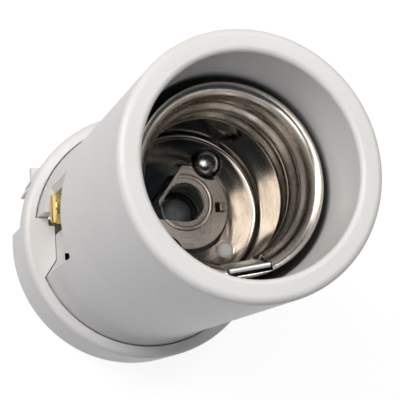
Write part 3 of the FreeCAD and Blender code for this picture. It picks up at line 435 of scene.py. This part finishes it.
def turned_mesh(name, profile, steps=72):
    """A closed solid turned about Z from (radius, level) points that start and end on the axis."""
    work = bmesh.new()
    rings = []
    for radius, level in profile:
        if radius <= 0:
            rings.append([work.verts.new((0, 0, level))])
            continue
        rings.append([
            work.verts.new((radius * math.cos(turn), radius * math.sin(turn), level))
            for turn in (2 * math.pi * step / steps for step in range(steps))
        ])
    for lower, upper in zip(rings, rings[1:]):
        for step in range(steps):
            after = (step + 1) % steps
            corners = [lower[step % len(lower)], lower[after % len(lower)]]
            corners += [upper[after % len(upper)], upper[step % len(upper)]]
            distinct = list(dict.fromkeys(corners))
            if len(distinct) > 2:
                work.faces.new(distinct)
    bmesh.ops.recalc_face_normals(work, faces=work.faces)
    mesh = bpy.data.meshes.new(name)
    work.to_mesh(mesh)
    work.free()
    return mesh


def block_mesh(work, low, high):
    """Adds one block between two corners to a work mesh."""
    made = bmesh.ops.create_cube(work, size=1.0)["verts"]
    for vert in made:
        vert.co = Vector([low[i] + (vert.co[i] + 0.5) * (high[i] - low[i]) for i in range(3)])


def cut_by(made, low_high_pairs, name):
    """Cuts blocks out of an object."""
    work = bmesh.new()
    cutter_mesh = bpy.data.meshes.new(name + "_cutter")
    for low, high in low_high_pairs:
        block_mesh(work, low, high)
    work.to_mesh(cutter_mesh)
    work.free()
    cutter = new_object(name + "_cutter", cutter_mesh)
    carving = made.modifiers.new("carving", "BOOLEAN")
    carving.operation = "DIFFERENCE"
    carving.solver = "EXACT"
    carving.use_self = True
    carving.object = cutter
    hardened(made, name)
    bpy.data.objects.remove(cutter)
    bpy.data.meshes.remove(cutter_mesh)


def dome_profile(radius, height, lip, steps=14):
    """Points of a pressed dome: a short lip, then an arc up to the crown."""
    rise = height - lip
    points = [(radius * 0.985, 0.0), (radius, lip * 0.35), (radius, lip * 0.7)]
    for step in range(steps + 1):
        turn = math.radians(90 * step / steps)
        points.append((radius * math.cos(turn) ** 0.92, lip + rise * math.sin(turn)))
    points[-1] = (0.0, height)
    return points


# Repeated and path-following pieces by geometry nodes

def fastener_tree():
    """Stands a head, and a threaded shank under it, on each point of a row."""
    tree, given, made = new_group(
        "fastener_row",
        [
            ("Head", "NodeSocketObject", None),
            ("Shank Radius", "NodeSocketFloat", SHANK_RADIUS),
            ("Thread Depth", "NodeSocketFloat", THREAD_DEPTH),
            ("Thread Pitch", "NodeSocketFloat", THREAD_PITCH),
            ("Shank Length", "NodeSocketFloat", BODY_SCREW_LENGTH),
            ("Rings", "NodeSocketInt", 200),
            ("Count", "NodeSocketInt", 1),
            ("Start", "NodeSocketVector", (0, 0, 0)),
            ("Spacing", "NodeSocketVector", (0, 0, 0)),
            ("Finish", "NodeSocketMaterial", None),
        ],
        [("Geometry", "NodeSocketGeometry")], "GeometryNodeTree",
    )
    shank = add_node(tree, "GeometryNodeMeshCylinder", fill_type="NGON")
    shank.inputs["Vertices"].default_value = 36
    link(tree, given.outputs["Rings"], shank.inputs["Side Segments"])
    link(tree, given.outputs["Shank Radius"], shank.inputs["Radius"])
    link(tree, given.outputs["Shank Length"], shank.inputs["Depth"])
    where = add_node(tree, "GeometryNodeInputPosition").outputs[0]
    apart = add_node(tree, "ShaderNodeSeparateXYZ")
    link(tree, where, apart.inputs[0])
    turn = maths(tree, "ARCTAN2", apart.outputs["Y"], apart.outputs["X"])
    climb = maths(tree, "DIVIDE", apart.outputs["Z"], given.outputs["Thread Pitch"])
    phase = maths(tree, "SUBTRACT", climb, maths(tree, "DIVIDE", turn, 2 * math.pi))
    groove = maths(tree, "MULTIPLY", maths(tree, "PINGPONG", phase, 0.5), 2.0)
    groove = stretched(tree, groove, 0.12, 0.88)
    depth = maths(tree, "MULTIPLY", groove, given.outputs["Thread Depth"])
    half = maths(tree, "MULTIPLY", given.outputs["Shank Length"], 0.5)
    from_tip = maths(tree, "ADD", apart.outputs["Z"], half)
    tip = stretched(tree, from_tip, 0.0, given.outputs["Thread Pitch"], 1.0, 0.0)
    tip_depth = maths(tree, "MULTIPLY", given.outputs["Thread Depth"], 1.4)
    depth = maths(tree, "MAXIMUM", depth, maths(tree, "MULTIPLY", tip, tip_depth))
    share = maths(tree, "SUBTRACT", 1.0, maths(tree, "DIVIDE", depth, given.outputs["Shank Radius"]))
    scale = add_node(tree, "ShaderNodeCombineXYZ")
    link(tree, share, scale.inputs["X"])
    link(tree, share, scale.inputs["Y"])
    scale.inputs["Z"].default_value = 1.0
    threaded = add_node(tree, "GeometryNodeSetPosition")
    link(tree, shank.outputs["Mesh"], threaded.inputs["Geometry"])
    link(tree, vector_maths(tree, "MULTIPLY", where, scale.outputs[0]), threaded.inputs["Position"])
    lowered = add_node(tree, "GeometryNodeTransform")
    drop = add_node(tree, "ShaderNodeCombineXYZ")
    link(tree, maths(tree, "MULTIPLY", given.outputs["Shank Length"], -0.5), drop.inputs["Z"])
    link(tree, threaded.outputs[0], lowered.inputs["Geometry"])
    link(tree, drop.outputs[0], lowered.inputs["Translation"])
    head = add_node(tree, "GeometryNodeObjectInfo", transform_space="ORIGINAL")
    link(tree, given.outputs["Head"], head.inputs["Object"])
    joined = add_node(tree, "GeometryNodeJoinGeometry")
    link(tree, head.outputs["Geometry"], joined.inputs[0])
    link(tree, lowered.outputs[0], joined.inputs[0])
    row = add_node(tree, "GeometryNodeMeshLine", mode="OFFSET")
    link(tree, given.outputs["Count"], row.inputs["Count"])
    link(tree, given.outputs["Start"], row.inputs["Start Location"])
    link(tree, given.outputs["Spacing"], row.inputs["Offset"])
    stood = add_node(tree, "GeometryNodeInstanceOnPoints")
    link(tree, row.outputs[0], stood.inputs["Points"])
    link(tree, joined.outputs[0], stood.inputs["Instance"])
    solid = add_node(tree, "GeometryNodeRealizeInstances")
    link(tree, stood.outputs[0], solid.inputs[0])
    coated = add_node(tree, "GeometryNodeSetMaterial")
    link(tree, solid.outputs[0], coated.inputs["Geometry"])
    link(tree, given.outputs["Finish"], coated.inputs["Material"])
    link(tree, coated.outputs[0], made.inputs["Geometry"])
    return tree


def coil_tree():
    """A coil spring whose end turns lie closed."""
    tree, given, made = new_group(
        "closed_end_coil",
        [
            ("Coil Radius", "NodeSocketFloat", COIL_RADIUS),
            ("Wire Radius", "NodeSocketFloat", COIL_WIRE),
            ("Turns", "NodeSocketFloat", COIL_TURNS),
            ("Height", "NodeSocketFloat", COIL_HIGH - COIL_LOW - 2 * COIL_WIRE),
            ("Closed Turns", "NodeSocketFloat", 1.0),
            ("Finish", "NodeSocketMaterial", None),
        ],
        [("Geometry", "NodeSocketGeometry")], "GeometryNodeTree",
    )
    spiral = add_node(tree, "GeometryNodeCurveSpiral")
    spiral.inputs["Resolution"].default_value = 56
    link(tree, given.outputs["Turns"], spiral.inputs["Rotations"])
    link(tree, given.outputs["Coil Radius"], spiral.inputs["Start Radius"])
    link(tree, given.outputs["Coil Radius"], spiral.inputs["End Radius"])
    link(tree, given.outputs["Height"], spiral.inputs["Height"])
    where = add_node(tree, "GeometryNodeInputPosition").outputs[0]
    apart = add_node(tree, "ShaderNodeSeparateXYZ")
    link(tree, where, apart.inputs[0])
    climb = maths(tree, "DIVIDE", apart.outputs["Z"], given.outputs["Height"])
    turn = maths(tree, "MULTIPLY", climb, given.outputs["Turns"])
    closed = maths(tree, "MULTIPLY", given.outputs["Wire Radius"], 2.0)
    flat_rise = maths(tree, "MULTIPLY", turn, closed)
    all_closed = maths(tree, "MULTIPLY", given.outputs["Turns"], closed)
    open_rise = maths(tree, "SUBTRACT", given.outputs["Height"], all_closed)
    last = maths(tree, "SUBTRACT", given.outputs["Turns"], given.outputs["Closed Turns"])
    share = stretched(tree, turn, given.outputs["Closed Turns"], last)
    level = maths(tree, "ADD", flat_rise, maths(tree, "MULTIPLY", share, open_rise))
    point = add_node(tree, "ShaderNodeCombineXYZ")
    link(tree, apart.outputs["X"], point.inputs["X"])
    link(tree, apart.outputs["Y"], point.inputs["Y"])
    link(tree, level, point.inputs["Z"])
    wound = add_node(tree, "GeometryNodeSetPosition")
    link(tree, spiral.outputs[0], wound.inputs["Geometry"])
    link(tree, point.outputs[0], wound.inputs["Position"])
    section = add_node(tree, "GeometryNodeCurvePrimitiveCircle", mode="RADIUS")
    section.inputs["Resolution"].default_value = 16
    link(tree, given.outputs["Wire Radius"], section.inputs["Radius"])
    wire = add_node(tree, "GeometryNodeCurveToMesh")
    link(tree, wound.outputs[0], wire.inputs["Curve"])
    link(tree, section.outputs[0], wire.inputs["Profile Curve"])
    wire.inputs["Fill Caps"].default_value = True
    solid = add_node(tree, "GeometryNodeRealizeInstances")
    link(tree, wire.outputs[0], solid.inputs[0])
    coated = add_node(tree, "GeometryNodeSetMaterial")
    link(tree, solid.outputs[0], coated.inputs["Geometry"])
    link(tree, given.outputs["Finish"], coated.inputs["Material"])
    link(tree, coated.outputs[0], made.inputs["Geometry"])
    return tree


FASTENERS = fastener_tree()
COIL = coil_tree()


def grown(name, tree, values):
    """A plain mesh object made by a geometry node tree with its inputs set."""
    made = new_object(name, bpy.data.meshes.new(name + "_seed"))
    growth = made.modifiers.new("growth", "NODES")
    growth.node_group = tree
    sockets = {item.name: item.identifier for item in tree.interface.items_tree if item.in_out == "INPUT"}
    for key, value in values.items():
        growth[sockets[key]] = value
    mesh = hardened(made, name)
    cleaned(mesh, merge=1e-7)
    return made


def fasteners(name, head, body, slot, material, node, place, **values):
    """A row of fasteners as one plain mesh, moved to its place."""
    made = grown(name, FASTENERS, {"Head": head, "Finish": material, **values})
    made.data.transform(place)
    smoothed(made.data, TURNED_CREASE)
    return settled(made, body, material, (node,))


def domed_head(name):
    """A domed screw head with no recess."""
    return new_object(name, turned_mesh(name, [(0.0, 0.0)] + dome_profile(HEAD_RADIUS, HEAD_HEIGHT, HEAD_LIP)))


def cross_head(name):
    """A domed screw head with a cross recess."""
    made = domed_head(name)
    arm, half, floor, top = 2.05 * MM, 0.42 * MM, 1.3 * MM, 4.0 * MM
    cut_by(made, [((-arm, -half, floor), (arm, half, top)), ((-half, -arm, floor), (half, arm, top))], name)
    return made


def slotted_head(name):
    """A straight-sided screw head with rounded edges and a slot."""
    radius, height, edge = TERMINAL_HEAD_RADIUS, 2.8 * MM, 0.45 * MM
    profile = [(0.0, 0.0), (radius - 0.2 * MM, 0.0), (radius, 0.2 * MM), (radius, height - edge)]
    for step in range(1, 6):
        turn = math.radians(90 * step / 5)
        profile.append((radius - edge + edge * math.cos(turn), height - edge + edge * math.sin(turn)))
    profile.append((0.0, height + 0.05 * MM))
    made = new_object(name, turned_mesh(name, profile))
    half = 0.55 * MM
    cut_by(made, [((-half, -radius * 1.2, height - 1.2 * MM), (half, radius * 1.2, height * 2))], name)
    return made


def rivet_blank(name):
    """A plain domed rivet with its shank and closed tail."""
    grip = SHELL_FLOOR - RIVET_TAIL_LEVEL
    tail = 1.6 * MM
    profile = [
        (0.0, -grip - tail), (2.0 * MM, -grip - tail * 0.96), (3.0 * MM, -grip - tail * 0.6),
        (3.3 * MM, -grip), (SHANK_RADIUS, -grip), (SHANK_RADIUS, 0.0), (HEAD_RADIUS * 0.94, 0.0),
    ]
    profile += dome_profile(HEAD_RADIUS, HEAD_HEIGHT, RIVET_LIP)
    return new_object(name, turned_mesh(name, profile))


# Porcelain

for node, name in (("porcelain_body", "body_glazed"), ("porcelain_base", "base_glazed")):
    rounded_copy(
        node, name, "holder", porcelain, PORCELAIN_EDGE, segments=3, flat=0.0,
    )

# Screw shell and its rivets

rounded_copy(
    "screw_shell", "rolled_shell", "holder", nickel, SHELL_EDGE, angle=55.0, flat=0.0,
)
rivet = rivet_blank("rivet_pattern")
start = Vector((RIVET_REACH * math.cos(RIVET_ANGLE), RIVET_REACH * math.sin(RIVET_ANGLE), SHELL_FLOOR))
# The rivet domes wear the nickel painted dark, a painted dark reflection.
domes = grown("domed_rivets", FASTENERS, {
    "Head": rivet, "Finish": nickel_painted_dark, "Shank Length": 1.0 * MM, "Shank Radius": 1.0 * MM,
    "Thread Depth": 0.0, "Rings": 1, "Count": 2, "Start": start,
    "Spacing": Vector((-2 * start.x, -2 * start.y, 0)),
})
smoothed(domes.data, TURNED_CREASE)
settled(domes, "holder", nickel_painted_dark, ("shell_rivets",))
rounded_copy("shell_washers", "rivet_washers", "holder", zinc, WASHER_EDGE)

# Centre contact, its guide, coil, screw, washer and nut

rounded_copy("centre_contact", "contact_plate", "contact", satin_nickel, 0.16 * MM)
rounded_copy("contact_guide", "hooked_guide", "holder", nickel, STRIP_EDGE)
# The coil and the eye screw wear the steel painted dark, painted shade in the contact well.
coil = grown("contact_coil", COIL, {"Finish": dark_steel})
coil.data.transform(Matrix.Translation((0, 0, COIL_LOW + COIL_WIRE)))
smoothed(coil.data, WOUND_CREASE)
settled(coil, "holder", dark_steel, ("centre_spring",))
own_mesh(coil)
plain = domed_head("plain_head_pattern")
fasteners(
    "eye_screw", plain, "holder", "dark_steel", dark_steel, "centre_screw",
    Matrix.Translation((0, 0, GUIDE_TOP)), **{"Shank Length": CENTRE_SCREW_LENGTH, "Rings": CENTRE_RINGS},
)
rounded_copy("centre_washer", "eye_screw_washer", "holder", zinc, WASHER_EDGE)
rounded_copy("centre_nut", "eye_screw_nut", "holder", zinc, NUT_EDGE)

# Strips and terminals

rounded_copy("centre_strip", "centre_contact_strip", "holder", brass, STRIP_EDGE)
rounded_copy("shell_strip", "shell_contact_strip", "holder", brass, STRIP_EDGE)
slotted = slotted_head("slotted_head_pattern")
for side, turn in (("line", 0.0), ("neutral", math.pi)):
    rounded_copy(side + "_terminal_plate", side + "_plate", "holder", brass, 0.25 * MM)
    rounded_copy(side + "_clamp_plate", side + "_clamp", side + "_clamp", brass, 0.2 * MM)
    place = (
        Matrix.Rotation(turn, 4, "Z") @ Matrix.Translation((-TERMINAL_SEAT, TERMINAL_SIDE, TERMINAL_LEVEL))
        @ Matrix.Rotation(-math.pi / 2, 4, "Y")
    )
    fasteners(
        side + "_binding_screw", slotted, side + "_screw", "brass", brass, side + "_terminal_screw", place,
        **{"Shank Length": TERMINAL_SCREW_LENGTH, "Rings": TERMINAL_RINGS},
    )

# Lamp lock spring and its rivet

rounded_copy("lamp_lock_spring", "lock_strip", "lamp_lock", spring_steel, 0.1 * MM)
rounded_copy("lamp_lock_rivet", "lock_strip_rivet", "lamp_lock", nickel, 0.3 * MM, segments=3)

# Screws that join the body to the base

upside_down = Matrix.Rotation(math.pi, 4, "X")
cross = cross_head("cross_head_pattern")
fasteners(
    "joining_screws", cross, "holder", "zinc_steel", zinc, "body_screws",
    Matrix.Translation((0, 0, BODY_SCREW_SEAT)) @ upside_down,
    **{
        "Rings": BODY_RINGS, "Count": 2, "Start": Vector((0, BODY_SCREW_REACH, 0)),
        "Spacing": Vector((0, -2 * BODY_SCREW_REACH, 0)), "Shank Length": BODY_SCREW_LENGTH,
    },
)
rounded_copy("body_washers", "joining_washers", "holder", zinc, WASHER_EDGE)
rounded_copy("body_nuts", "joining_nuts", "holder", zinc, NUT_EDGE)

for pattern in (rivet, plain, cross, slotted):
    bpy.data.objects.remove(pattern)


# Stage

def stage_bowl():
    """A white table top that curves up into a round backdrop."""
    profile = [(0.0, 0.0), (0.4, 0.0), (0.8, 0.0), (1.3, 0.0)]
    for step in range(1, 13):
        turn = math.radians(90 * step / 12)
        profile.append((1.3 + 0.5 * math.sin(turn), 0.5 - 0.5 * math.cos(turn)))
    profile.append((1.8, 1.1))
    bowl = new_object("studio_floor", turned_mesh("studio_floor", profile, 96))
    bowl.data.transform(Matrix.Translation((0, 0, -0.0002)))
    bowl.data.shade_smooth()
    return bowl


def stage_material():
    """White to the eye and in reflections, plain white cloth to all other light."""
    material = bpy.data.materials.new("studio_white")
    material.use_nodes = True
    tree = material.node_tree
    tree.nodes.clear()
    path = add_node(tree, "ShaderNodeLightPath")
    seen = maths(tree, "MAXIMUM", path.outputs["Is Camera Ray"], path.outputs["Is Glossy Ray"])
    seen = maths(tree, "MAXIMUM", seen, path.outputs["Is Transmission Ray"])
    cloth = add_node(tree, "ShaderNodeBsdfDiffuse")
    cloth.inputs["Color"].default_value = (0.26, 0.26, 0.26, 1)
    faint = add_node(tree, "ShaderNodeBsdfDiffuse")
    faint.inputs["Color"].default_value = (0.20, 0.20, 0.20, 1)
    glow = add_node(tree, "ShaderNodeEmission")
    glow.inputs["Strength"].default_value = 0.88
    white = add_node(tree, "ShaderNodeAddShader")
    link(tree, faint.outputs[0], white.inputs[0])
    link(tree, glow.outputs[0], white.inputs[1])
    chosen = add_node(tree, "ShaderNodeMixShader")
    link(tree, seen, chosen.inputs[0])
    link(tree, cloth.outputs[0], chosen.inputs[1])
    link(tree, white.outputs[0], chosen.inputs[2])
    end = add_node(tree, "ShaderNodeOutputMaterial")
    link(tree, chosen.outputs[0], end.inputs["Surface"])
    return material


floor = stage_bowl()
floor.data.materials.append(stage_material())


# Light

def softbox(name, azimuth, elevation, distance, width, height, power, colour, target=(0, 0, 0.06)):
    """A soft area lamp at a bearing and a height, turned to the holder."""
    light = bpy.data.lights.new(name, "AREA")
    light.shape = "RECTANGLE"
    light.size, light.size_y = width, height
    light.energy = power
    light.color = colour
    lamp = bpy.data.objects.new(name, light)
    bpy.context.scene.collection.objects.link(lamp)
    a, e = math.radians(azimuth), math.radians(elevation)
    away = Vector((math.cos(a) * math.cos(e), math.sin(a) * math.cos(e), math.sin(e)))
    lamp.location = Vector(target) + away * distance
    lamp.rotation_euler = away.to_track_quat("Z", "Y").to_euler()
    return lamp


softbox("main_upper_left", 150, 43, 0.9, 0.4, 0.4, 4.2, (1.0, 0.975, 0.94))
softbox("high_panel", 145, 74, 0.9, 0.5, 0.5, 2.0, (1.0, 0.96, 0.90))
softbox("top_panel", 120, 88, 0.9, 0.3, 0.3, 0.5, (1.0, 0.98, 0.96))
softbox("back_panel", 50, 48, 0.9, 0.35, 0.35, 2.2, (1.0, 0.98, 0.95))
softbox("side_fill", 222, 38, 0.9, 0.5, 0.3, 1.5, (0.95, 0.95, 1.0))

world = bpy.data.worlds.new("studio_room")
bpy.context.scene.world = world
world.use_nodes = True
room = world.node_tree.nodes["Background"]
room.inputs["Color"].default_value = (0.50, 0.80, 1.0, 1)
room.inputs["Strength"].default_value = 0.045


# Camera at the photograph's viewing angle

camera_data = bpy.data.cameras.new("camera")
camera_data.lens = 116.28
camera_data.sensor_width = 36.0
camera_data.clip_start = 0.01
camera = bpy.data.objects.new("camera", camera_data)
bpy.context.scene.collection.objects.link(camera)
bpy.context.scene.camera = camera
to_right = Vector((0.94706356, -0.05900795, 0.315579))
to_top = Vector((-0.00709698, 0.9788762, 0.20433125))
to_back = to_right.cross(to_top)
turn = Matrix((to_right, to_top, to_back)).transposed().to_4x4()
camera.matrix_world = Matrix.Translation((-0.09964, -0.06105, 0.35207)) @ turn

bpy.context.scene.view_settings.view_transform = "Standard"
